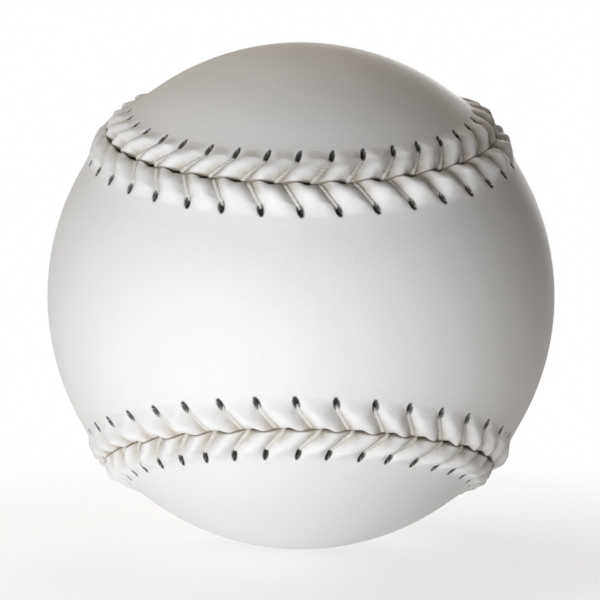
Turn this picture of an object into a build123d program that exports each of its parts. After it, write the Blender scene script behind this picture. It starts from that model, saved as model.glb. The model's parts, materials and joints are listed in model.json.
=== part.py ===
from build123d import *
from math import acos, atan2, cos, degrees, pi, sin, sqrt, tan
import os

# A twelve-inch softball: a cork core, its yarn winding and latex coat, and two
# figure-eight leather panels, cemented down and laced together with two threads.
# The origin is the centre of the ball. The waist of the front panel faces -Y,
# its lobes wrap round to +X and -X, and +Z is up. Sizes are in millimetres.

# Driving dimensions of the ball and its layers, from the outside in
ball_circumference = 304.8      # over the leather, between the seams
leather_thickness = 1.6
cement_thickness = 0.15
latex_thickness = 0.5
winding_thickness = 5.0
layer_clearance = 0.02          # between one round layer and the next

# The seam between the two panels
waist_width = 42.6              # between the seams, measured over the leather
lip_radius = 0.8                # rounding of each panel's outer edge
lip_share = 0.9                 # most of the leather's thickness that the rounding may take
flank_inner_radius = 7.0        # inside of the fold where a panel lifts to the seam
shoulder_margin = 0.2           # raised leather beyond the holes
cement_setback = 0.6            # bare leather between the lifted edge and the cement

# The lacing
stitch_count = 88               # stitches in each thread, an even number
thread_diameter = 1.1
thread_clearance = 0.075        # round the thread in holes, seam and tunnel
thread_sink = 0.5               # depth of the groove that each stitch pulls in the leather
hole_row_offset = 5.05          # from the seam to the middle of a hole
hole_length = 2.8               # holes are stretched along the stitch by its pull
stitch_lead = 3.5               # distance along the seam from a hole to where its stitch dives
dive_gap = 0.6                  # free length of seam between two threads that dive together
thread_end_gap = 1.5            # between the tucked ends of one thread

# Sizes that follow
ball_radius = ball_circumference / (2 * pi)
thread_radius = thread_diameter / 2
channel_radius = thread_radius + thread_clearance
seam_gap = 2 * channel_radius
welt_rise = 2 * channel_radius
flank_radius = leather_thickness + flank_inner_radius
bend_slack = 3                  # clearances in a bend's inside radius, to clear a square corner
bend_radius = thread_radius + bend_slack * thread_clearance

cover_inside = ball_radius - leather_thickness
coat_outside = cover_inside - cement_thickness
winding_outside = coat_outside - latex_thickness
core_radius = winding_outside - winding_thickness
crown_radius = ball_radius + welt_rise
crown_inside = crown_radius - leather_thickness
over_radius = crown_radius - thread_sink + thread_radius
under_radius = crown_inside - channel_radius

# The seam is four equal arcs of circles on the ball, which meet smoothly at the
# corners (1, 0, 1), (-1, 0, 1), (-1, 0, -1) and (1, 0, -1). Each arc goes round
# an axis through a lobe, and the waist width tilts that axis from the vertical.
waist_angle = waist_width / (2 * ball_radius)
axis_slope = (sin(waist_angle) - sqrt(0.5)) / cos(waist_angle)
axis_tilt = atan2(-axis_slope, 1)
seam_polar = pi / 2 - waist_angle - axis_tilt
half_span = pi - acos(sin(axis_tilt) * cos(seam_polar) / (cos(axis_tilt) * sin(seam_polar)))
stitches_per_arc = stitch_count / 4
stitch_pitch = 2 * half_span * sin(seam_polar) * ball_radius / stitches_per_arc

shoulder_offset = hole_row_offset + hole_length / 2 + shoulder_margin
flank_high = crown_radius - flank_radius
flank_low = ball_radius + flank_radius
flank_run = acos((flank_high**2 + flank_low**2 - 4 * flank_radius**2) / (2 * flank_high * flank_low))
foot_offset = shoulder_offset + flank_run * ball_radius

ORIGIN = Vector(0, 0, 0)
FRONT = 1
BACK = -1


class SeamArc:
    """One arc of the seam. Its frame has Z along the lobe's axis and X at the arc's middle.

    turn is +1 where the lacing runs counterclockwise about the axis, and outer is the
    panel that lies outside the arc, whose waist it borders.
    """

    def __init__(self, axis, middle, turn, outer):
        self.frame = Plane(origin=ORIGIN, x_dir=middle, z_dir=axis)
        self.turn = turn
        self.outer = outer


tilt_cos = cos(axis_tilt)
tilt_sin = sin(axis_tilt)
top_arc = SeamArc((0, -tilt_sin, tilt_cos), (0, -tilt_cos, -tilt_sin), -1, FRONT)
left_arc = SeamArc((-tilt_cos, tilt_sin, 0), (tilt_sin, tilt_cos, 0), 1, BACK)
bottom_arc = SeamArc((0, -tilt_sin, -tilt_cos), (0, -tilt_cos, tilt_sin), -1, FRONT)
right_arc = SeamArc((tilt_cos, tilt_sin, 0), (-tilt_sin, tilt_cos, 0), 1, BACK)
lacing_order = [top_arc, left_arc, bottom_arc, right_arc]


def seam_direction(station, offset):
    """Direction from the ball's centre to a place beside the seam.

    station counts stitches along the seam, and offset is the distance from the seam,
    positive on the front panel.
    """
    arc_number, along = divmod(station / stitches_per_arc, 1)
    arc = lacing_order[int(arc_number) % len(lacing_order)]
    azimuth = arc.turn * (2 * along - 1) * half_span
    polar = seam_polar + arc.outer * offset / ball_radius
    flat = sin(polar)
    local = Vector(flat * cos(azimuth), flat * sin(azimuth), cos(polar))
    return arc.frame.from_local_coords(local)


def section_point(radius, polar):
    """A point of a panel's section, in the plane through an arc's axis."""
    return Vector(radius * sin(polar), 0, radius * cos(polar))


def arc_about(centre, start, end):
    """The shorter arc from start to end about a centre."""
    middle = ((start - centre) + (end - centre)).normalized() * (start - centre).length
    return ThreePointArc(start, centre + middle, end)


def panel_section(side, far_polar):
    """Section of a panel, lifted to a welt at the seam, at one thickness all along.

    side is +1 outside the arc and -1 in its lobe, and far_polar ends the section there.
    """
    wall = seam_polar + side * (seam_gap / 2) / ball_radius
    shoulder = seam_polar + side * shoulder_offset / ball_radius
    foot = seam_polar + side * foot_offset / ball_radius
    high_centre = section_point(flank_high, shoulder)
    low_centre = section_point(flank_low, foot)
    flank_line = (low_centre - high_centre).normalized()
    flank_outer = high_centre + flank_line * flank_radius
    flank_inner = high_centre + flank_line * flank_inner_radius

    def surface(crown, plain, flank_middle):
        return [
            section_point(crown, wall),
            section_point(crown, shoulder),
            flank_middle,
            section_point(plain, foot),
            section_point(plain, far_polar),
        ]

    def surface_edges(points):
        centres = [ORIGIN, high_centre, low_centre, ORIGIN]
        return [arc_about(c, a, b) for c, a, b in zip(centres, points, points[1:])]

    outside = surface(crown_radius, ball_radius, flank_outer)
    inside = surface(crown_inside, cover_inside, flank_inner)
    edges = surface_edges(outside) + surface_edges(inside)
    edges += [Line(outside[0], inside[0]), Line(outside[-1], inside[-1])]
    section = Face(Wire(edges))
    lip = section.vertices().sort_by_distance(outside[0])[0]
    return section.fillet_2d(min(lip_radius, lip_share * leather_thickness), [lip])


def cement_section(side, far_polar):
    """Section of the cement film, which stops short of the lifted edge."""
    near = seam_polar + side * (foot_offset + cement_setback) / ball_radius
    outside = cover_inside - layer_clearance
    inside = coat_outside + layer_clearance
    middle = (near + far_polar) / 2

    def band_edge(radius):
        ends = section_point(radius, near), section_point(radius, far_polar)
        return ThreePointArc(ends[0], section_point(radius, middle), ends[1])

    def end_edge(polar):
        return Line(section_point(outside, polar), section_point(inside, polar))

    edges = [band_edge(outside), end_edge(far_polar), band_edge(inside), end_edge(near)]
    return Face(Wire(edges))


def figure_eight(panel, section):
    """Turn a section into a whole panel: two lobes and two halves of the waist."""
    past_the_waist = 2 * seam_polar + axis_tilt
    pieces = []
    for arc in lacing_order:
        side = 1 if arc.outer == panel else -1
        profile = section(side, past_the_waist if side > 0 else 0)
        start = Rotation(0, 0, -degrees(half_span))
        turned = start * revolve(profile, Axis.Z, degrees(2 * half_span))
        piece = arc.frame * turned
        if side > 0:
            piece = split(piece, Plane(origin=ORIGIN, z_dir=waist_side(arc)))
        pieces.append(piece.solid())
    return pieces[0].fuse(*pieces[1:]).solid()


def waist_side(arc):
    """The direction that a half of the waist lies in, square to the panel's long line."""
    axis = arc.frame.z_dir
    return Vector(axis.X, 0, axis.Z).normalized()


class Tube:
    """A round thread that grows run by run from an open end."""

    def __init__(self, start, heading):
        self.rim = Edge.make_circle(thread_radius, Plane(origin=start, z_dir=heading))
        self.walls = [-Face(Wire([self.rim]))]

    def run(self, step):
        """Go straight on."""
        self.walls.append(Face.extrude(self.rim, step))
        self.rim = self.rim.translate(step)

    def turn(self, centre, axis, angle):
        """Turn about an axis through a centre, by an angle in radians."""
        line = Axis(centre, axis)
        self.walls.append(Face.revolve(self.rim, degrees(angle), line))
        self.rim = self.rim.rotate(line, degrees(angle))

    def solid(self):
        """Close the end and make the solid."""
        return Solid(Shell(self.walls + [Face(Wire([self.rim]))]))


def thread_through(corners):
    """A thread along a list of corners, each rounded to the bend radius."""
    headings = [(end - start).normalized() for start, end in zip(corners, corners[1:])]
    tube = Tube(corners[0], headings[0])
    here = corners[0]
    for corner, heading, next_heading in zip(corners[1:], headings, headings[1:]):
        axis = heading.cross(next_heading)
        angle = atan2(axis.length, heading.dot(next_heading))
        setback = bend_radius * tan(angle / 2)
        bend_start = corner - heading * setback
        inward = axis.normalized().cross(heading)
        tube.run(bend_start - here)
        tube.turn(bend_start + inward * bend_radius, axis, angle)
        here = corner + next_heading * setback
    tube.run(corners[-1] - here)
    return tube.solid()


class Span:
    """The plane that a stitch lies in, from one direction of the ball to another."""

    def __init__(self, start, end):
        self.start = start
        self.normal = start.cross(end).normalized()
        self.angle = atan2(start.cross(end).length, start.dot(end))

    def point(self, radius, angle):
        """A point at a radius of the ball, at an angle from the start towards the end."""
        across = self.normal.cross(self.start)
        return (self.start * cos(angle) + across * sin(angle)) * radius


def hole_span(stitch, panel):
    """From the middle of a stretched hole to where its stitch dives into the seam."""
    return Span(seam_direction(stitch, panel * hole_row_offset), dive_direction(stitch, panel))


def hole_direction(stitch, panel):
    """Where the thread stands in its hole, drawn to the end beside the seam."""
    drawn = (hole_length / 2 - channel_radius) / ball_radius
    return hole_span(stitch, panel).point(1, drawn)


def dive_direction(stitch, panel):
    """Where a stitch goes down into the seam, the front panel's before the back panel's."""
    lead = stitch_lead - panel * (thread_diameter + dive_gap) / 2
    return seam_direction(stitch + lead / stitch_pitch, 0)


def lacing_thread(first_panel):
    """One thread, unbroken, which laces the two panels in turn all round the ball.

    Each stitch comes up out of a hole, crosses the welt and dives into the seam. From
    there the thread goes on under the leather to the next hole, in the other panel.
    """
    corners = []
    panel = first_panel
    for stitch in range(stitch_count):
        hole = hole_direction(stitch, panel)
        dive = dive_direction(stitch, panel)
        corners += [hole * under_radius, hole * over_radius, dive * over_radius, dive * under_radius]
        panel = -panel
    gap_line = corners[0] - corners[-1]
    tail = gap_line.normalized() * ((gap_line.length - thread_end_gap) / 2)
    return thread_through([corners[0] - tail] + corners + [corners[-1] + tail])


def stitch_cut(stitch, panel):
    """The stretched hole of one stitch, and the groove from it that the stitch lies in."""
    span = hole_span(stitch, panel)
    hole_half = hole_length / 2 / ball_radius
    above = crown_radius + thread_diameter
    floor = over_radius - channel_radius
    outline = Polyline(
        span.point(coat_outside, -hole_half),
        span.point(above, -hole_half),
        span.point(above, span.angle),
        span.point(floor, span.angle),
        span.point(floor, hole_half),
        span.point(coat_outside, hole_half),
        close=True,
    )
    return extrude(Face(Wire(outline.edges())), channel_radius, span.normal, both=True).solid()


def cover_panel(panel):
    """One leather panel with its welt, its holes and the grooves of its stitches."""
    leather = figure_eight(panel, panel_section)
    cuts = [stitch_cut(stitch, panel) for stitch in range(stitch_count)]
    return leather.cut(*cuts).solid()


def cement_film(panel):
    """The dried cement between a panel and the coat."""
    return figure_eight(panel, cement_section)


def round_layer(outside, inside):
    """A round shell of one thickness."""
    return (Sphere(outside) - Sphere(inside)).solid()


pieces = {
    "cork_core": Sphere(core_radius - layer_clearance).solid(),
    "yarn_winding": round_layer(winding_outside - layer_clearance, core_radius),
    "latex_coat": round_layer(coat_outside, winding_outside),
    "front_panel_cement": cement_film(FRONT),
    "back_panel_cement": cement_film(BACK),
    "front_cover_panel": cover_panel(FRONT),
    "back_cover_panel": cover_panel(BACK),
    "first_seam_thread": lacing_thread(FRONT),
    "second_seam_thread": lacing_thread(BACK),
}

os.makedirs("parts", exist_ok=True)
for name, solid in pieces.items():
    export_step(solid, f"parts/{name}.step")
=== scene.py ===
"""Looks of a laced leather softball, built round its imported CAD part.

Everything is in metres in the CAD frame: the origin is the ball's centre, +Z is up and
the waist of the front panel faces -Y. Stations count stitches along the seam.
"""

import json
from math import acos, atan2, cos, pi, radians, sin, sqrt

import bmesh
import bpy
import numpy as np
from bpy.props import FloatProperty, FloatVectorProperty, IntProperty, PointerProperty
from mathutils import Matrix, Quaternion, Vector
from mathutils.geometry import delaunay_2d_cdt


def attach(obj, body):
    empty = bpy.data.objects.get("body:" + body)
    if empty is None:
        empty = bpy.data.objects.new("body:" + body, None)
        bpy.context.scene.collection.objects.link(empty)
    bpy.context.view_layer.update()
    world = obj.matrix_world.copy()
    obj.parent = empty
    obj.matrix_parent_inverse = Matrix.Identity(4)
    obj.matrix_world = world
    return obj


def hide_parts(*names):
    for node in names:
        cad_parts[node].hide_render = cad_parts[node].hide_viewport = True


bl_info = {
    "name": "Laced Softball",
    "version": (1, 0, 0),
    "blender": (4, 5, 0),
    "location": "View3D > Sidebar > Softball",
    "description": "Dresses the softball's CAD frame with leather, lacing and studio light",
    "category": "Object",
}

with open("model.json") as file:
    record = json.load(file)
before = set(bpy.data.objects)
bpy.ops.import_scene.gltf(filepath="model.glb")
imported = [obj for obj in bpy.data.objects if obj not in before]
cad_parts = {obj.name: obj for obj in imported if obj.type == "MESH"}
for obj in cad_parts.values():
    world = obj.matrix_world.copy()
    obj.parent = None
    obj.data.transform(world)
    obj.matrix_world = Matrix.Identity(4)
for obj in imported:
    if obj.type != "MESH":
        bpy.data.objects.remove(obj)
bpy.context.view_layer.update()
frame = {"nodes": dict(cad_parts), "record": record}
ball_radius = -frame["record"]["mounts"][0]["pos_m"][2]
mm = 0.001
FRONT = 1
BACK = -1


def length(name, description, millimetres):
    """A property that holds a length."""
    return FloatProperty(
        name=name,
        description=description,
        default=millimetres * mm,
        min=0,
        precision=5,
        subtype="DISTANCE",
        unit="LENGTH",
    )


def angle(name, description, degrees):
    """A property that holds an angle."""
    return FloatProperty(
        name=name, description=description, default=radians(degrees), subtype="ANGLE", unit="ROTATION"
    )


def colour(name, description, red, green, blue):
    """A property that holds a colour."""
    return FloatVectorProperty(
        name=name,
        description=description,
        default=(red, green, blue),
        size=3,
        min=0,
        max=1,
        subtype="COLOR",
    )


def fraction(name, description, default):
    """A property that holds a share from 0 to 1."""
    return FloatProperty(
        name=name, description=description, default=default, min=0, max=1, subtype="FACTOR"
    )


class SeamSizes(bpy.types.PropertyGroup):
    """Where the seam, its holes and its stitches are."""

    waist_width: length("Waist width", "Across a panel's waist, between the seams", 42.6)
    stitch_count: IntProperty(
        name="Stitches", description="Stitches in each thread, a multiple of four", default=88, min=8
    )
    hole_offset: length("Hole offset", "From the seam to the middle of a hole", 5.05)
    hole_length: length("Hole length", "Of a hole stretched by its stitch", 2.3)
    hole_width: length("Hole width", "Of a hole stretched by its stitch", 0.88)
    hole_lean: fraction("Hole lean", "Share of its stitch's slant that a hole takes on", 0.4)
    stitch_lead: length("Stitch lead", "Along the seam from a hole to where its stitch dives", 3.5)
    dive_spread: length("Dive spread", "Between the two stitches that dive together", 1.15)
    hand_drift: length("Hand drift", "How far the stitches stray, as sewn by hand", 0.16)
    open_gap: length("Open gap", "Width of the seam where stitches dive", 0.85)
    gap_length: length("Gap length", "Of the open seam where stitches dive", 2.3)
    gap_shift: length("Gap shift", "Along the seam from the dives to the middle of their gap", 1.2)
    closed_gap: length("Closed gap", "Width of the seam between the dives", 0.02)


class LeatherSizes(bpy.types.PropertyGroup):
    """The leather and how the lacing shapes it."""

    thickness: length("Thickness", "Of the leather", 1.6)
    lip_width: length("Lip width", "Of the rolled edge at the seam, along the leather", 1.2)
    lip_depth: length("Lip depth", "Of the rolled edge at the seam, into the ball", 0.95)
    lip_lift: fraction("Lip lift", "Share of its depth that a shut lip is pushed up", 0.88)
    welt_height: length("Welt height", "Of the raised leather at the seam", 0.68)
    welt_crest: length("Welt crest", "Distance from the seam where the welt starts to fall", 1.2)
    welt_foot: length("Welt foot", "Distance from the seam where the welt ends", 9.2)
    pillow_rise: length("Pillow rise", "Of the plump leather between two stitches", 1.15)
    crease_depth: length("Crease depth", "Of the uneven leather beside the stitches", 0.35)
    valley_depth: length("Valley depth", "Of the leather under a stitch", 0.75)
    valley_width: length("Valley width", "Half width of the valley under a stitch", 1.15)
    hole_depth: length("Hole depth", "Of a stitch hole", 0.9)


class ThreadSizes(bpy.types.PropertyGroup):
    """The lacing thread."""

    diameter: length("Diameter", "Over the twisted strands", 0.9)
    twist: length("Twist", "Length of one turn of the strands", 2.6)
    bend: length("Bend", "Radius of the thread's bends", 0.7)
    end_gap: length("End gap", "Between the tucked ends of a thread", 1.5)


class Finishes(bpy.types.PropertyGroup):
    """Colours of the ball and its stage."""

    leather: colour("Leather", "White coated leather", 0.83, 0.83, 0.83)
    # The colour of dust beside the stitches, and of painted shade in the valleys under them and along
    # the seam
    dusty_shade: colour("Handled leather", "Where dust settles beside the stitches", 0.47, 0.41, 0.34)
    # Painted shade: the holes are closed pits, and this dark colour stands for the shade inside them
    hole: colour("Hole", "Inside a stitch hole", 0.07, 0.065, 0.06)
    # A little darker than the white thread itself: painted shade, so that the thread matches the
    # shaded valleys it lies in
    thread: colour("Thread", "Waxed thread", 0.73, 0.71, 0.67)
    cork: colour("Cork", "Granulated cork", 0.46, 0.31, 0.19)
    cork_dark: colour("Dark cork", "Dark grains and rubber", 0.13, 0.08, 0.05)
    yarn: colour("Yarn", "Wound yarn", 0.72, 0.68, 0.6)
    latex: colour("Latex", "Dried latex", 0.74, 0.66, 0.47)
    cement: colour("Cement", "Dried contact cement", 0.66, 0.55, 0.33)
    floor: colour("Floor", "Pale studio floor", 0.9, 0.9, 0.9)


class StageSizes(bpy.types.PropertyGroup):
    """The camera that takes the photograph's view."""

    distance: length("Distance", "From the camera to the ball's centre", 331.3)
    azimuth: angle("Azimuth", "Of the camera, from the front towards +X", 0.52)
    elevation: angle("Elevation", "Of the camera above the ball's centre", 2.4)
    roll: angle("Roll", "Of the camera about its line of sight", 0.46)
    lens: length("Lens", "Focal length", 102.8)
    shift: FloatVectorProperty(
        name="Shift",
        description="Of the picture sideways and up, as a share of its width",
        default=(-0.0017, -0.007),
        size=2,
        precision=4,
    )


class SoftballSettings(bpy.types.PropertyGroup):
    """All that a user would change."""

    seam: PointerProperty(type=SeamSizes)
    leather: PointerProperty(type=LeatherSizes)
    thread: PointerProperty(type=ThreadSizes)
    finish: PointerProperty(type=Finishes)
    stage: PointerProperty(type=StageSizes)


class Number:
    """A socket that holds a number, so that node maths reads as a Python expression."""

    def __init__(self, graph, socket):
        self.graph = graph
        self.socket = socket

    def math(self, operation, *values):
        """A Math node on values or sockets."""
        node = self.graph.add("ShaderNodeMath", {"operation": operation}, dict(enumerate(values)))
        return Number(self.graph, node.outputs[0])

    def __add__(self, other):
        return self.math("ADD", self, other)

    __radd__ = __add__

    def __sub__(self, other):
        return self.math("SUBTRACT", self, other)

    def __rsub__(self, other):
        return self.math("SUBTRACT", other, self)

    def __mul__(self, other):
        return self.math("MULTIPLY", self, other)

    __rmul__ = __mul__

    def __truediv__(self, other):
        return self.math("DIVIDE", self, other)

    def __rtruediv__(self, other):
        return self.math("DIVIDE", other, self)

    def __pow__(self, power):
        return self.math("POWER", self, power)

    def __abs__(self):
        return self.math("ABSOLUTE", self)

    def sine(self):
        return self.math("SINE", self)

    def cosine(self):
        return self.math("COSINE", self)

    def bell(self, width):
        """1 at zero, falling to both sides within about a width."""
        share = self / width
        return self.math("EXPONENT", share * share * -1)

    def rise(self, start, end):
        """0 up to start, 1 from end on, and smooth between them."""
        node = self.graph.add(
            "ShaderNodeMapRange",
            {"interpolation_type": "SMOOTHSTEP"},
            {"Value": self, "From Min": start, "From Max": end},
        )
        return Number(self.graph, node.outputs["Result"])


class Graph:
    """A node tree that is built in code."""

    def __init__(self, tree):
        self.tree = tree

    def add(self, kind, settings=None, sockets=None):
        """Add a node. Its settings are set first, then its sockets' values or links."""
        node = self.tree.nodes.new(kind)
        for name, value in (settings or {}).items():
            setattr(node, name, value)
        for key, value in (sockets or {}).items():
            self.connect(value, node.inputs[key])
        return node

    def connect(self, value, target):
        """Link a socket to another, or set the other's value."""
        if isinstance(value, Number):
            value = value.socket
        if isinstance(value, bpy.types.NodeSocket):
            self.tree.links.new(value, target)
        else:
            target.default_value = value

    def number(self, kind, settings=None, sockets=None, output=0):
        """Add a node and take one of its outputs as a number."""
        return Number(self, self.add(kind, settings, sockets).outputs[output])

    def vector(self, operation, *values, scale=None):
        """Vector maths."""
        sockets = dict(enumerate(values))
        if scale is not None:
            sockets["Scale"] = scale
        return self.add("ShaderNodeVectorMath", {"operation": operation}, sockets).outputs[0]

    def mix(self, share, first, second):
        """A colour between two others."""
        sockets = {0: share, 6: opaque(first), 7: opaque(second)}
        return self.add("ShaderNodeMix", {"data_type": "RGBA"}, sockets).outputs[2]

    def seen_rays(self):
        """1 for rays from the camera, also off a mirror or through glass, and 0 for others."""
        paths = self.add("ShaderNodeLightPath").outputs
        camera = Number(self, paths["Is Camera Ray"])
        mirrored = camera.math("MAXIMUM", camera, paths["Is Glossy Ray"])
        return camera.math("MAXIMUM", mirrored, paths["Is Transmission Ray"])


def opaque(value):
    """A colour of three numbers with an alpha of 1. Links pass as they are."""
    if isinstance(value, bpy.types.NodeSocket):
        return value
    return (*value, 1)


class Material(Graph):
    """A material with one Principled shader."""

    def __init__(self, name):
        self.material = bpy.data.materials.new(name)
        self.material.use_nodes = True
        super().__init__(self.material.node_tree)
        self.shader = self.tree.nodes["Principled BSDF"]
        self.place = self.add("ShaderNodeTexCoord").outputs["Object"]

    def finish(self, **sockets):
        """Set the shader's sockets, with underscores for the spaces in their names."""
        for name, value in sockets.items():
            self.connect(value, self.shader.inputs[name.replace("_", " ")])
        return self.material

    def noise(self, size, detail=2):
        """Cloudy noise with features of a real size."""
        return self.number(
            "ShaderNodeTexNoise", None, {"Vector": self.place, "Scale": 1 / size, "Detail": detail}
        )

    def cells(self, size, feature="F1"):
        """Distance to the middle or the edge of grains of a real size."""
        return self.number(
            "ShaderNodeTexVoronoi", {"feature": feature}, {"Vector": self.place, "Scale": 1 / size}
        )

    def mask(self, name):
        """A mask that the piece's mesh carries."""
        return self.number("ShaderNodeAttribute", {"attribute_name": name}, None, "Fac")

    def bump(self, height, depth, strength):
        """A normal from a height of 0 to 1 that stands for a real depth."""
        sockets = {"Height": height, "Distance": depth, "Strength": strength}
        return self.add("ShaderNodeBump", None, sockets).outputs[0]


class NodePiece(Graph):
    """A Geometry Nodes tree with named inputs, and the piece that it makes from a base mesh."""

    def __init__(self, name):
        super().__init__(bpy.data.node_groups.new(name, "GeometryNodeTree"))
        self.tree.interface.new_socket("Geometry", in_out="INPUT", socket_type="NodeSocketGeometry")
        self.tree.interface.new_socket("Geometry", in_out="OUTPUT", socket_type="NodeSocketGeometry")
        self.entry = self.tree.nodes.new("NodeGroupInput")
        self.exit = self.tree.nodes.new("NodeGroupOutput")
        self.values = {}

    def input(self, name, value, kind="NodeSocketFloat"):
        """Add a named input, to be set to a value on the modifier."""
        socket = self.tree.interface.new_socket(name, in_out="INPUT", socket_type=kind)
        self.values[socket.identifier] = value
        return Number(self, self.entry.outputs[name])

    def attribute(self, name, kind="FLOAT"):
        """A value that the base mesh carries."""
        node = self.add("GeometryNodeInputNamedAttribute", {"data_type": kind}, {"Name": name})
        return Number(self, node.outputs["Attribute"])

    def store(self, geometry, name, value):
        """Keep a value on the mesh for the material."""
        node = self.add(
            "GeometryNodeStoreNamedAttribute",
            {"data_type": "FLOAT", "domain": "POINT"},
            {"Geometry": geometry, "Name": name, "Value": value},
        )
        return node.outputs[0]

    def end(self, geometry, material):
        """Realize, give the material and leave the tree."""
        finish = self.input("Material", material, "NodeSocketMaterial")
        smooth = self.add("GeometryNodeSetShadeSmooth", None, {"Geometry": geometry})
        real = self.add("GeometryNodeRealizeInstances", None, {"Geometry": smooth.outputs[0]})
        sockets = {"Geometry": real.outputs[0], "Material": finish}
        last = self.add("GeometryNodeSetMaterial", None, sockets)
        self.connect(last.outputs[0], self.exit.inputs[0])

    def make(self, name, base):
        """Run the tree on a base mesh and return a plain mesh object."""
        source = bpy.data.objects.new(name + "_base", base)
        bpy.context.scene.collection.objects.link(source)
        modifier = source.modifiers.new("Nodes", "NODES")
        modifier.node_group = self.tree
        for identifier, value in self.values.items():
            modifier[identifier] = value
        evaluated = source.evaluated_get(bpy.context.evaluated_depsgraph_get())
        mesh = bpy.data.meshes.new_from_object(evaluated)
        if not mesh.polygons:
            raise RuntimeError(f"{name} came out of its nodes with no faces")
        mesh.name = name
        piece = bpy.data.objects.new(name, mesh)
        bpy.context.scene.collection.objects.link(piece)
        bpy.data.objects.remove(source)
        return piece


class Seam:
    """The seam's line on the ball: four equal arcs of circles that meet smoothly."""

    def __init__(self, sizes):
        waist_angle = sizes.waist_width / (2 * ball_radius)
        tilt = atan2(sqrt(0.5) - sin(waist_angle), cos(waist_angle))
        self.polar = pi / 2 - waist_angle - tilt
        self.half_span = pi - acos(sin(tilt) * cos(self.polar) / (cos(tilt) * sin(self.polar)))
        self.count = sizes.stitch_count
        self.pitch = 8 * self.half_span * sin(self.polar) * ball_radius / self.count
        c, s = cos(tilt), sin(tilt)
        axes = [(0, -s, c), (-c, s, 0), (0, -s, -c), (c, s, 0)]
        middles = [(0, -c, -s), (s, c, 0), (0, -c, s), (-s, c, 0)]
        self.frames = np.array([(x, np.cross(z, x), z) for x, z in zip(middles, axes)])
        self.turns = np.array([-1, 1, -1, 1])
        self.outer = np.array([FRONT, BACK, FRONT, BACK])

    def place(self, station, offset):
        """Unit directions to places beside the seam, and the way to the front panel there.

        An offset is the distance from the seam, positive on the front panel.
        """
        along = (np.asarray(station) * 4 / self.count) % 4
        arc = np.minimum(along.astype(int), 3)
        azimuth = self.turns[arc] * (2 * (along - arc) - 1) * self.half_span
        polar = self.polar + self.outer[arc] * offset / ball_radius
        ahead = np.stack([np.cos(azimuth), np.sin(azimuth), 0 * azimuth], -1)
        up = np.array([0, 0, 1])
        flat, high = np.sin(polar)[:, None], np.cos(polar)[:, None]
        place = np.einsum("ni,nij->nj", flat * ahead + high * up, self.frames[arc])
        across = np.einsum("ni,nij->nj", high * ahead - flat * up, self.frames[arc])
        return place, across * self.outer[arc][:, None]

    def offset(self, places):
        """The distance of unit directions from the seam, positive on the front panel."""
        nearest = np.full(len(places), np.inf)
        for axes, outer in zip(self.frames, self.outer):
            x, y, z = axes @ places.T
            beside = np.abs(np.arctan2(y, x)) <= self.half_span
            distance = (np.arccos(np.clip(z, -1, 1)) - self.polar) * outer * ball_radius
            closer = beside & (np.abs(distance) < np.abs(nearest))
            nearest[closer] = distance[closer]
        return nearest


class StitchLine:
    """The line of the stitches of one panel: through a hole, then across the welt to the seam."""

    # The start of the random draw, the most it may give, and half the bend at a hole's end
    seed = 5
    most_drift = 1.3
    bend = 0.4 * mm

    def __init__(self, sizes, panel):
        chance = np.random.default_rng(self.seed + panel)
        drift = np.clip(chance.normal(0, 1, sizes.stitch_count), -self.most_drift, self.most_drift)
        self.drift = drift * sizes.hand_drift
        self.lead = sizes.stitch_lead - panel * sizes.dive_spread / 2
        self.hole_offset = sizes.hole_offset
        self.hole_end = sizes.hole_offset - sizes.hole_length / 2
        self.hole_slope = sizes.hole_lean * self.lead / sizes.hole_offset
        self.slope = (self.lead - self.ahead(self.hole_end)) / self.hole_end

    def ahead(self, distance):
        """How far along the seam from its hole the line is, at a distance from the seam."""
        if distance >= self.hole_end:
            return (self.hole_offset - distance) * self.hole_slope
        at_end = (self.hole_offset - self.hole_end) * self.hole_slope
        return self.lead + (at_end - self.lead) * distance / self.hole_end

    def slant(self, distance):
        """The angle between the line and the shortest way to the seam."""
        ends = [self.hole_end - self.bend, self.hole_end + self.bend]
        return np.arctan(np.interp(distance, ends, [self.slope, self.hole_slope]))


def ball_points(spacing):
    """Unit directions spread evenly over the ball, about a spacing apart."""
    count = int(4 * pi * ball_radius**2 / (spacing**2 * sqrt(0.75)))
    number = np.arange(count)
    height = 1 - (2 * number + 1) / count
    turn = number * pi * (3 - sqrt(5))
    flat = np.sqrt(1 - height**2)
    return np.stack([flat * np.cos(turn), flat * np.sin(turn), height], -1)


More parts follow.
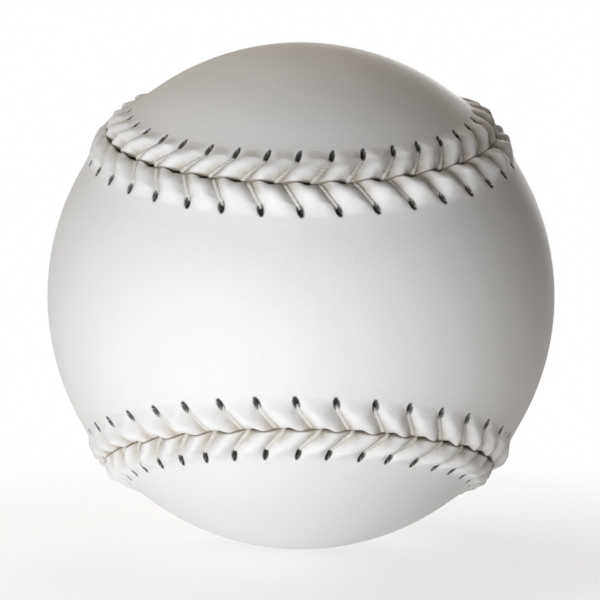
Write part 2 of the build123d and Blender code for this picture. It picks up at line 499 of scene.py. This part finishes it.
class PanelBase:
    """The base mesh of a cover panel: a smooth closed shell of leather with no lacing in it.

    Rows of points follow the seam, from the inner face round the lip to the outer face.
    Their columns lean with the stitches, so that each stitch and hole lies along one. Every
    point carries where it lies beside the seam, which the leather's nodes shape it from.
    """

    # Columns of one stitch, along the seam from its line
    before = [-2.5, -2.05, -1.6, -1.2, -0.9, -0.68, -0.47, -0.24]
    after = [0.24, 0.47, 0.68, 0.9, 1.2, 1.6, 2.05, 2.5, 3.02]
    column_places = np.array([*before, 0, *after]) * mm
    middle_column = len(before)

    # A row has every column, every second or every fourth
    every, second, fourth = 1, 2, 4

    # Distances from the seam
    lean_end = 6.7 * mm
    even_start = 7 * mm
    even_run = 2.4 * mm
    rim = 10.8 * mm

    # Spacing of the points on the plain leather, inside and outside
    inner_spacing = 3.2 * mm
    outer_spacing = 1.7 * mm

    carried = ("seam_distance", "stitch_across", "stitch_along", "dive_along", "outside")

    def __init__(self, seam, settings, panel):
        self.seam = seam
        self.sizes = settings.seam
        self.leather = settings.leather
        self.panel = panel
        self.line = StitchLine(settings.seam, panel)
        self.points = []
        self.faces = []
        self.values = {name: [] for name in self.carried}
        self.to_seam = []
        self.count = 0

    def row(self, distance, depth, step):
        """Add a row of points at a distance from the seam and a depth in the leather."""
        columns = np.arange(0, self.seam.count * len(self.column_places), step)
        stitch, column = np.divmod(columns, len(self.column_places))
        even = (column - self.middle_column) / len(self.column_places) * self.seam.pitch
        spread = np.clip((distance - self.even_start) / self.even_run, 0, 1)
        beside = self.column_places[column] * (1 - spread) + even * spread
        lead = self.line.ahead(min(distance, self.lean_end))
        ahead = beside + lead + self.line.drift[stitch] * (1 - spread)
        place, across = self.seam.place(stitch + ahead / self.seam.pitch, self.panel * distance)
        slant = self.line.slant(distance)
        inward = self.sizes.hole_offset - distance
        dive = (ahead - self.sizes.stitch_lead - self.sizes.gap_shift) / self.seam.pitch
        values = {
            "seam_distance": np.full(len(columns), distance),
            "stitch_across": beside * cos(slant),
            "stitch_along": inward / cos(slant) + beside * sin(slant),
            "dive_along": (dive - np.round(dive)) * self.seam.pitch,
            "outside": np.full(len(columns), self.outside(depth)),
        }
        return self.add(place * (ball_radius - depth), across * -self.panel, values)

    def outside(self, depth):
        """1 on the leather's outer face and 0 on its inner one."""
        return 1 - min(depth / self.leather.thickness, 1)

    def add(self, points, to_seam, values):
        """Add points and what they carry. Returns their numbers."""
        numbers = np.arange(self.count, self.count + len(points))
        self.count += len(points)
        self.points.append(points)
        self.to_seam.append(to_seam)
        for name, value in values.items():
            self.values[name].append(value)
        return numbers

    def strip(self, one, other):
        """Join two rows, of which one may have half the points of the other."""
        if len(one) < len(other):
            one, other = other, one
        if len(one) == len(other):
            self.faces += np.stack([one, np.roll(one, -1), np.roll(other, -1), other], -1).tolist()
            return
        first, middle, last = one[0::2], one[1::2], np.roll(one[0::2], -1)
        following = np.roll(other, -1)
        between = (middle, following, other)
        for corners in ((first, middle, other), between, (middle, last, following)):
            self.faces += np.stack(corners, -1).tolist()

    def field(self, edge, depth, spacing):
        """Fill a row at the rim with even triangles over the plain leather inside it."""
        spread = ball_points(spacing)
        distance = self.seam.offset(spread) * self.panel
        room = 0.7 * spacing
        inside = distance > self.rim + room
        count = int(inside.sum())
        far = np.full(count, self.seam.pitch)
        values = {
            "seam_distance": distance[inside],
            "stitch_across": far,
            "stitch_along": -far,
            "dive_along": far,
            "outside": np.full(count, self.outside(depth)),
        }
        numbers = self.add(spread[inside] * (ball_radius - depth), np.zeros((count, 3)), values)
        corners = np.concatenate([edge, numbers])
        places = np.concatenate(self.points)[corners]
        # A stereographic map from the far side of the ball keeps the triangles even
        x, y, z = (places / np.linalg.norm(places, axis=1, keepdims=True)).T
        scale = 1 / (1 - self.panel * y)
        flat = [Vector(p) for p in np.stack([x * scale, z * scale], -1).tolist()]
        edge_loop = list(range(len(edge)))
        inside_only, tolerance = 1, 1e-9
        found = delaunay_2d_cdt(flat, [], [edge_loop], inside_only, tolerance)
        triangles, origins = found[2], found[3]
        source = [origin[0] for origin in origins]
        self.faces += [[int(corners[source[v]]) for v in face] for face in triangles]

    def mesh(self):
        """The closed mesh with what its points carry."""
        mesh = bpy.data.meshes.new("panel_base")
        mesh.from_pydata(np.concatenate(self.points).tolist(), [], self.faces)
        shell = bmesh.new()
        shell.from_mesh(mesh)
        bmesh.ops.recalc_face_normals(shell, faces=shell.faces)
        shell.to_mesh(mesh)
        shell.free()
        for name, value in self.values.items():
            layer = mesh.attributes.new(name, "FLOAT", "POINT")
            layer.data.foreach_set("value", np.concatenate(value).astype(np.float32))
        layer = mesh.attributes.new("to_seam", "FLOAT_VECTOR", "POINT")
        layer.data.foreach_set("vector", np.concatenate(self.to_seam).astype(np.float32).ravel())
        return mesh

    def build(self):
        """Build the rows, from the inner rim round the lip to the outer rim, and fill them in."""
        wall = self.sizes.open_gap / 2
        inner = self.leather.thickness
        outer = 0
        wall_top = 1.3 * mm
        holes_start, holes_end = 3.6 * mm, 6.8 * mm
        rows = [(distance, inner, self.fourth) for distance in (self.rim, 6 * mm, 3 * mm)]
        rows += [(1.6 * mm, inner, self.second)]
        rows += [(wall, inner, self.every), (wall, wall_top, self.every)]
        for turn in np.linspace(0, pi / 2, 6):
            around = self.leather.lip_width * (1 - cos(turn))
            rows.append((wall + around, self.leather.lip_depth * (1 - sin(turn)), self.every))
        welt = np.linspace(wall + self.leather.lip_width, holes_start, 7)[1:]
        holes = np.linspace(holes_start, holes_end, 18)[1:]
        beyond = (7.2 * mm, 7.8 * mm, 8.5 * mm)
        rows += [(distance, outer, self.every) for distance in (*welt, *holes, *beyond)]
        rows += [(9.5 * mm, outer, self.second), (self.rim, outer, self.fourth)]
        numbers = [self.row(*row) for row in rows]
        for one, other in zip(numbers, numbers[1:]):
            self.strip(one, other)
        self.field(numbers[0], inner, self.inner_spacing)
        self.field(numbers[-1], outer, self.outer_spacing)
        return self.mesh()


def leather_nodes(settings, seam, panel, material):
    """Nodes that raise the welt, pull the stitches in and open the holes and the seam."""
    sizes, leather = settings.seam, settings.leather
    nodes = NodePiece("Laced leather")
    stitch_room = nodes.input("Stitch room", seam.pitch * cos(StitchLine(sizes, panel).slant(0)))
    hole_offset = nodes.input("Hole offset", sizes.hole_offset)
    hole_length = nodes.input("Hole length", sizes.hole_length)
    hole_width = nodes.input("Hole width", sizes.hole_width)
    hole_depth = nodes.input("Hole depth", leather.hole_depth)
    welt_height = nodes.input("Welt height", leather.welt_height)
    welt_crest = nodes.input("Welt crest", leather.welt_crest)
    welt_foot = nodes.input("Welt foot", leather.welt_foot)
    pillow_rise = nodes.input("Pillow rise", leather.pillow_rise)
    crease_depth = nodes.input("Crease depth", leather.crease_depth)
    valley_depth = nodes.input("Valley depth", leather.valley_depth)
    valley_width = nodes.input("Valley width", leather.valley_width)
    thickness = nodes.input("Thickness", leather.thickness)
    closing = nodes.input("Closing", (sizes.open_gap - sizes.closed_gap) / 2)
    opening = nodes.input("Opening", sizes.gap_length / 2)
    lip_lift = nodes.input("Lip lift", leather.lip_lift)

    distance = nodes.attribute("seam_distance")
    across = abs(nodes.attribute("stitch_across"))
    along = nodes.attribute("stitch_along")
    dive = nodes.attribute("dive_along")
    outside = nodes.attribute("outside")
    position = nodes.add("GeometryNodeInputPosition").outputs[0]

    # The noises' features are about 6 mm and 2.4 mm across
    uneven = {"Vector": position, "Scale": 160.0, "Detail": 1.0}
    creased = {"Vector": position, "Scale": 420.0, "Detail": 2.0}
    plump = nodes.number("ShaderNodeTexNoise", None, uneven)
    crumple = nodes.number("ShaderNodeTexNoise", None, creased)

    welt = welt_height * (1 - distance.rise(welt_crest, welt_foot))
    laced = 1 - distance.rise(hole_offset - 1.6 * mm, hole_offset + 1.3 * mm)
    towards_holes = 1 - 0.35 * distance.rise(2 * mm, hole_offset)
    towards_seam = 0.35 + 0.65 * distance.rise(0.2 * mm, 2.4 * mm)
    swell = pillow_rise * (0.3 + 1.4 * plump) * (towards_holes * towards_seam)
    pillow = swell * (across / stitch_room * pi).sine() + (crumple - 0.5) * crease_depth
    valley = across.bell(valley_width) * laced
    # 1 on the outline of a hole, which is a little squarer than an oval
    roundness = 2.4
    from_hole = (across * 2 / hole_width) ** roundness + (abs(along) * 2 / hole_length) ** roundness
    hole = 1 - from_hole.rise(0.3, 0.7)
    shut = 1 - dive.bell(opening)
    outer = outside.rise(0.1, 0.5)
    lip = thickness * (1 - outside) * shut * outer * lip_lift
    height = welt + outer * (pillow * laced - valley * valley_depth - hole * hole_depth) + lip
    drawn = shut * (1 - distance.rise(0.6 * mm, 2.8 * mm)) * closing

    lift = nodes.vector("SCALE", nodes.vector("NORMALIZE", position), scale=height)
    pull = nodes.vector("SCALE", nodes.attribute("to_seam", "FLOAT_VECTOR"), scale=drawn)
    moved = nodes.add(
        "GeometryNodeSetPosition",
        None,
        {"Geometry": nodes.entry.outputs["Geometry"], "Offset": nodes.vector("ADD", lift, pull)},
    )
    # 'hole' marks where the material paints shade inside the holes
    shaped = nodes.store(moved.outputs[0], "hole", (1 - from_hole.rise(0.95, 1.75)) * outer)
    # 'valley' and 'edge' mark where the material lays dust and painted shade beside the stitches and
    # along the seam
    shaped = nodes.store(shaped, "valley", valley)
    shaped = nodes.store(shaped, "edge", 1 - distance.rise(0.8 * mm, 3.4 * mm))
    # 'depth' marks the lip deep in the seam gap, where the material paints shade
    shaped = nodes.store(shaped, "depth", 1 - outside.rise(0.25, 0.8))
    nodes.end(shaped, material)
    return nodes


def lacing_route(seam, settings, first_panel):
    """The corners of one thread's route all round the ball, as a mesh of edges.

    Each stitch comes up out of a hole, crosses the welt and dives into the seam. From
    there the thread goes on under the leather to the next hole, in the other panel.
    """
    sizes, leather, thread = settings.seam, settings.leather, settings.thread
    under = ball_radius - leather.thickness + leather.welt_height - thread.diameter / 2
    valley_floor = ball_radius + leather.welt_height - leather.valley_depth
    over = valley_floor + 0.1 * thread.diameter
    hole_dip = 0.2 * mm
    dive_distance = 0.3 * mm
    stitch = np.arange(seam.count)
    panel = first_panel * (1 - 2 * (stitch % 2))
    lines = [StitchLine(sizes, side) for side in (FRONT, BACK)]

    def beside(distance):
        """Directions on the stitches' lines at a distance from the seam."""
        ways = [line.ahead(distance) + line.drift for line in lines]
        ahead = np.where(panel == FRONT, *ways)
        return seam.place(stitch + ahead / seam.pitch, panel * distance)[0]

    hole_end = lines[0].hole_end
    hole = beside(hole_end + 0.3 * thread.diameter)
    middle = beside(0.5 * hole_end)
    dive = beside(dive_distance)
    corners = [hole * under, hole * (over - hole_dip), middle * over, dive * over, dive * under]
    points = np.stack(corners, 1).reshape(-1, 3)
    gap_line = points[0] - points[-1]
    room = np.linalg.norm(gap_line)
    tail = gap_line / room * (room - thread.end_gap) / 2
    points = np.concatenate([[points[0] - tail], points, [points[-1] + tail]])
    mesh = bpy.data.meshes.new("lacing_route")
    mesh.from_pydata(points.tolist(), [(i, i + 1) for i in range(len(points) - 1)], [])
    return mesh


def thread_nodes(settings, material):
    """Nodes that round a route's corners and twist three strands along it."""
    thread = settings.thread
    strands = 3
    strand_sides = 6
    bend_points = 5
    step = 0.3 * mm
    nodes = NodePiece("Twisted thread")
    bend = nodes.input("Bend", thread.bend)
    strand_radius = nodes.input("Strand radius", 0.36 * thread.diameter)
    reach = nodes.input("Strand offset", 0.14 * thread.diameter)
    twist = nodes.input("Twist", thread.twist)

    route = nodes.add("GeometryNodeMeshToCurve", None, {"Mesh": nodes.entry.outputs["Geometry"]})
    rounded = nodes.add(
        "GeometryNodeFilletCurve",
        {"mode": "POLY"},
        {"Curve": route.outputs[0], "Count": bend_points, "Radius": bend, "Limit Radius": True},
    )
    line = nodes.add(
        "GeometryNodeResampleCurve",
        {"mode": "LENGTH"},
        {"Curve": rounded.outputs[0], "Length": step},
    )
    run = nodes.number("GeometryNodeSplineParameter", output="Length")
    normal = nodes.add("GeometryNodeInputNormal").outputs[0]
    tangent = nodes.add("GeometryNodeInputTangent").outputs[0]
    side = nodes.vector("CROSS_PRODUCT", tangent, normal)
    profile = nodes.add(
        "GeometryNodeCurvePrimitiveCircle",
        {"mode": "RADIUS"},
        {"Resolution": strand_sides, "Radius": strand_radius},
    )
    joined = nodes.add("GeometryNodeJoinGeometry")
    for strand in range(strands):
        turn = run * (2 * pi) / twist + strand * 2 * pi / strands
        offset = nodes.vector(
            "ADD",
            nodes.vector("SCALE", normal, scale=turn.cosine() * reach),
            nodes.vector("SCALE", side, scale=turn.sine() * reach),
        )
        sockets = {"Geometry": line.outputs[0], "Offset": offset}
        laid = nodes.add("GeometryNodeSetPosition", None, sockets)
        tube = nodes.add(
            "GeometryNodeCurveToMesh",
            None,
            {"Curve": laid.outputs[0], "Profile Curve": profile.outputs[0], "Fill Caps": True},
        )
        nodes.connect(tube.outputs[0], joined.inputs[0])
    nodes.end(joined.outputs[0], material)
    return nodes


def leather_material(finish):
    """White coated leather with a fine grain, with dust and painted shade beside the stitches, and
    painted shade that makes the holes and the seam gap dark.
    """
    look = Material("White leather")
    hole, valley, edge, depth = (look.mask(name) for name in ("hole", "valley", "edge", "depth"))
    cloud = look.noise(14 * mm, detail=3)
    speck = look.noise(1.6 * mm, detail=4)
    # Partly dust and partly painted shade in the valleys under the stitches and near the seam; the
    # depth term paints shade into the seam gap
    valley_dust_and_shade = (valley * (0.4 + 0.5 * edge) + edge * 0.1) * (0.35 + speck)
    dust_and_shade = valley_dust_and_shade + depth * 0.8 + (cloud - 0.5) * 0.12
    tone = look.mix(dust_and_shade.rise(0, 1), finish.leather, finish.dusty_shade)
    pores = look.cells(0.55 * mm, "DISTANCE_TO_EDGE")
    grain = look.bump(pores.rise(0, 0.22) * 0.6 + speck * 0.4, depth=0.035 * mm, strength=0.5)
    return look.finish(
        # The holes and the deep part of the seam gap take the hole colour: painted shade
        Base_Color=look.mix(hole.math("MAXIMUM", hole, depth * 0.36), tone, finish.hole),
        Roughness=0.46 + 0.16 * cloud + 0.38 * hole,
        Normal=grain,
        Specular_IOR_Level=0.1,
    )


def thread_material(finish):
    """Waxed thread with fine fibres."""
    look = Material("Waxed thread")
    fibre = look.noise(0.25 * mm, detail=3)
    cloud = look.noise(5 * mm)
    shade = tuple(0.86 * level for level in finish.thread)
    return look.finish(
        Base_Color=look.mix((fibre * 0.6 + cloud * 0.4).rise(0.3, 0.75), shade, finish.thread),
        Roughness=0.5 + 0.2 * fibre,
        Normal=look.bump(fibre, depth=0.05 * mm, strength=0.6),
    )


def cork_material(finish):
    """Grains of cork bonded with rubber."""
    look = Material("Granulated cork")
    grain_size = 2.4 * mm
    grains = look.cells(grain_size)
    edges = look.cells(grain_size, "DISTANCE_TO_EDGE")
    speck = look.noise(0.8 * mm, detail=3)
    dark = (grains * 0.7 + speck * 0.5).rise(0.35, 0.9)
    return look.finish(
        Base_Color=look.mix(dark, finish.cork, finish.cork_dark),
        Roughness=0.78 + 0.12 * speck,
        Normal=look.bump(edges.rise(0, 0.12), depth=0.25 * mm, strength=0.8),
    )


def yarn_material(finish):
    """Turns of yarn that cross each other."""
    look = Material("Wound yarn")
    sway = look.vector("SCALE", look.place, scale=look.noise(30 * mm) * 0.4)
    bent = look.vector("ADD", look.place, sway)
    # Turns of about 2 mm, because a wave texture fits three or so in one unit of its scale
    wave_size = 6.3 * mm
    turns = []
    for direction in ("X", "Y", "Z"):
        turns.append(
            look.number(
                "ShaderNodeTexWave",
                {"bands_direction": direction},
                {"Vector": bent, "Scale": 1 / wave_size, "Distortion": 2.5, "Detail": 2.0},
                "Fac",
            )
        )
    patch = look.noise(18 * mm).rise(0.42, 0.58)
    height = turns[0] * patch + (turns[1] * 0.6 + turns[2] * 0.4) * (1 - patch)
    shade = tuple(0.62 * level for level in finish.yarn)
    return look.finish(
        Base_Color=look.mix(height, shade, finish.yarn),
        Roughness=0.82 + 0.1 * patch,
        Normal=look.bump(height, depth=0.3 * mm, strength=0.8),
    )


def film_material(name, tone, size, roughness):
    """A dried film of latex or cement, brushed on unevenly."""
    look = Material(name)
    cloud = look.noise(size, detail=4)
    fleck = look.noise(size / 6)
    shade = tuple(0.7 * level for level in tone)
    return look.finish(
        Base_Color=look.mix((cloud * 0.7 + fleck * 0.3).rise(0.3, 0.7), shade, tone),
        Roughness=roughness + 0.2 * fleck,
        Normal=look.bump(cloud * 0.5 + fleck * 0.5, depth=0.12 * mm, strength=0.6),
    )


class SOFTBALL_OT_cover_panels(bpy.types.Operator):
    """Make the two leather panels with their welt, pillows and holes"""

    bl_idname = "softball.cover_panels"
    bl_label = "Cover Panels"

    def execute(self, context):
        settings = context.scene.softball
        seam = Seam(settings.seam)
        material = leather_material(settings.finish)
        for name, panel in (("front_cover", FRONT), ("back_cover", BACK)):
            base = PanelBase(seam, settings, panel).build()
            piece = leather_nodes(settings, seam, panel, material).make(name, base)
            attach(piece, "root")
            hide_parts(name + "_panel")
        return {"FINISHED"}


class SOFTBALL_OT_seam_threads(bpy.types.Operator):
    """Lace the panels together with two twisted threads"""

    bl_idname = "softball.seam_threads"
    bl_label = "Seam Threads"

    def execute(self, context):
        settings = context.scene.softball
        seam = Seam(settings.seam)
        nodes = thread_nodes(settings, thread_material(settings.finish))
        for name, panel in (("first_lacing", FRONT), ("second_lacing", BACK)):
            piece = nodes.make(name, lacing_route(seam, settings, panel))
            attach(piece, "root")
            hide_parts(name.replace("lacing", "seam_thread"))
        return {"FINISHED"}


class SOFTBALL_OT_inner_layers(bpy.types.Operator):
    """Give the layers under the leather their finishes"""

    bl_idname = "softball.inner_layers"
    bl_label = "Inner Layers"

    def execute(self, context):
        finish = context.scene.softball.finish
        latex = film_material("Dried latex", finish.latex, size=16 * mm, roughness=0.42)
        cement = film_material("Contact cement", finish.cement, size=9 * mm, roughness=0.3)
        looks = {
            "cork_core": cork_material(finish),
            "yarn_winding": yarn_material(finish),
            "latex_coat": latex,
            "front_panel_cement": cement,
            "back_panel_cement": cement,
        }
        for node, material in looks.items():
            mesh = frame["nodes"][node].data
            mesh.materials.clear()
            mesh.materials.append(material)
        return {"FINISHED"}


class SOFTBALL_OT_stage(bpy.types.Operator):
    """Set up the floor, the light and the camera"""

    bl_idname = "softball.stage"
    bl_label = "Stage"

    def execute(self, context):
        settings = context.scene.softball
        context.scene.view_settings.view_transform = "Standard"
        make_floor(settings.finish)
        make_world(context.scene)
        make_lamps(context.scene)
        make_camera(context.scene, settings.stage)
        return {"FINISHED"}


def make_floor(finish):
    """A pale floor that the ball rests on."""
    reach = 3.0
    left_glow = (1, 1, 1)
    right_glow = (0.3, 0.28, 0.26)
    mesh = bpy.data.meshes.new("floor")
    corners = [(-reach, -reach), (reach, -reach), (reach, reach), (-reach, reach)]
    mesh.from_pydata([(x, y, -ball_radius) for x, y in corners], [], [(0, 1, 2, 3)])
    floor = bpy.data.objects.new("floor", mesh)
    bpy.context.scene.collection.objects.link(floor)
    look = Material("Pale floor")
    sideways = look.number("ShaderNodeSeparateXYZ", None, {"Vector": look.place}, "X")
    right = sideways.rise(-ball_radius, 2 * ball_radius)
    glow = look.mix(right, left_glow, right_glow)
    look.finish(
        Base_Color=opaque(finish.floor),
        Roughness=0.9,
        Specular_IOR_Level=0.1,
        Emission_Color=glow,
        Emission_Strength=0.31,
    )
    # The camera sees white paper that fades into the backdrop, with the ball's shadow on it
    seen = look.seen_rays()
    foot = (0, 0, -ball_radius)
    away = look.add("ShaderNodeVectorMath", {"operation": "DISTANCE"}, {0: look.place, 1: foot})
    fade = Number(look, away.outputs["Value"]).rise(0.5 * ball_radius, 3 * ball_radius)
    white = look.add("ShaderNodeEmission", None, {"Color": (1, 1, 1, 1), "Strength": 1.0})
    blend = look.add(
        "ShaderNodeMixShader",
        None,
        {0: seen * (0.5 + 0.5 * fade), 1: look.shader.outputs[0], 2: white.outputs[0]},
    )
    look.connect(blend.outputs[0], look.tree.nodes["Material Output"].inputs[0])
    mesh.materials.append(look.material)


def make_world(scene):
    """White where the camera looks, and a soft even light on the ball."""
    world = bpy.data.worlds.new("Studio")
    world.use_nodes = True
    scene.world = world
    sky = Graph(world.node_tree)
    light = world.node_tree.nodes["Background"]
    light.inputs["Color"].default_value = (1.0, 0.77, 0.54, 1)
    light.inputs["Strength"].default_value = 0.04
    white = sky.add("ShaderNodeBackground", None, {"Color": (1, 1, 1, 1), "Strength": 1.0})
    blend = sky.add(
        "ShaderNodeMixShader", None, {0: sky.seen_rays(), 1: light.outputs[0], 2: white.outputs[0]}
    )
    sky.connect(blend.outputs[0], world.node_tree.nodes["World Output"].inputs[0])


def make_lamps(scene):
    """A low strip in front, soft boxes at the left, above and behind, and a spot on the floor.

    Angles are in degrees, the distance and the sizes in metres and the power in watts.
    """
    for name, azimuth, elevation, distance, width, height, power, tint in (
        ("Front strip", -20, -5, 0.3, 0.22, 0.044, 0.5, (0.95, 0.975, 1.0)),
        ("Left soft box", -105, 48, 0.36, 0.22, 0.22, 0.16, (1.0, 0.92, 0.82)),
        ("Top soft box", 186, 66, 0.45, 0.3, 0.3, 0.52, (1.0, 0.89, 0.74)),
        ("Back soft box", 164, 14, 0.5, 0.24, 0.24, 1.15, (0.97, 0.98, 1.0)),
    ):
        lamp = bpy.data.lights.new(name, "AREA")
        lamp.shape = "RECTANGLE"
        lamp.size = width
        lamp.size_y = height
        way = direction(radians(azimuth), radians(elevation))
        stand_lamp(scene, lamp, power, tint, way * distance)
    spot = bpy.data.lights.new("Floor spot", "SPOT")
    spot.spot_size = radians(26)
    spot.spot_blend = 1
    spot.shadow_soft_size = 0.05
    place = Vector((0.01, -0.17, 0.3))
    aim = Vector((0.01, -0.145, -ball_radius))
    stand_lamp(scene, spot, 3.4, (1, 1, 1), place, aim)


def stand_lamp(scene, lamp, power, tint, place, aim=Vector()):
    """Put a lamp at a place, aimed at a point and out of the camera's sight."""
    lamp.energy = power
    lamp.color = tint
    stand = bpy.data.objects.new(lamp.name, lamp)
    stand.location = place
    stand.rotation_mode = "QUATERNION"
    stand.rotation_quaternion = (aim - place).to_track_quat("-Z", "Y")
    stand.visible_camera = False
    scene.collection.objects.link(stand)


def direction(azimuth, elevation):
    """The way from the ball's centre to a lamp or the camera, turned from the front towards +X."""
    flat = cos(elevation)
    return Vector((sin(azimuth) * flat, -cos(azimuth) * flat, sin(elevation)))


def make_camera(scene, sizes):
    """The photograph's view."""
    lens = bpy.data.cameras.new("Camera")
    lens.lens = sizes.lens / mm
    lens.shift_x, lens.shift_y = sizes.shift
    camera = bpy.data.objects.new("Camera", lens)
    back = direction(sizes.azimuth, sizes.elevation)
    camera.location = back * sizes.distance
    camera.rotation_mode = "QUATERNION"
    roll = Quaternion((0, 0, 1), sizes.roll)
    camera.rotation_quaternion = (-back).to_track_quat("-Z", "Y") @ roll
    scene.collection.objects.link(camera)
    scene.camera = camera


class SOFTBALL_PT_panel(bpy.types.Panel):
    """The softball's sizes, finishes and steps"""

    bl_label = "Softball"
    bl_space_type = "VIEW_3D"
    bl_region_type = "UI"
    bl_category = "Softball"

    def draw(self, context):
        settings = context.scene.softball
        shape = (settings.seam, settings.leather, settings.thread)
        for group in (*shape, settings.finish, settings.stage):
            box = self.layout.box()
            for name in group.__annotations__:
                box.prop(group, name)
        for step in steps:
            self.layout.operator(step.bl_idname)


steps = (
    SOFTBALL_OT_cover_panels,
    SOFTBALL_OT_seam_threads,
    SOFTBALL_OT_inner_layers,
    SOFTBALL_OT_stage,
)
groups = (SeamSizes, LeatherSizes, ThreadSizes, Finishes, StageSizes, SoftballSettings)
classes = (*groups, *steps, SOFTBALL_PT_panel)


def register():
    for item in classes:
        bpy.utils.register_class(item)
    bpy.types.Scene.softball = PointerProperty(type=SoftballSettings)


def unregister():
    del bpy.types.Scene.softball
    for item in reversed(classes):
        bpy.utils.unregister_class(item)


def main():
    register()
    bpy.ops.softball.cover_panels()
    bpy.ops.softball.seam_threads()
    bpy.ops.softball.inner_layers()
    bpy.ops.softball.stage()


if __name__ == "__main__":
    main()
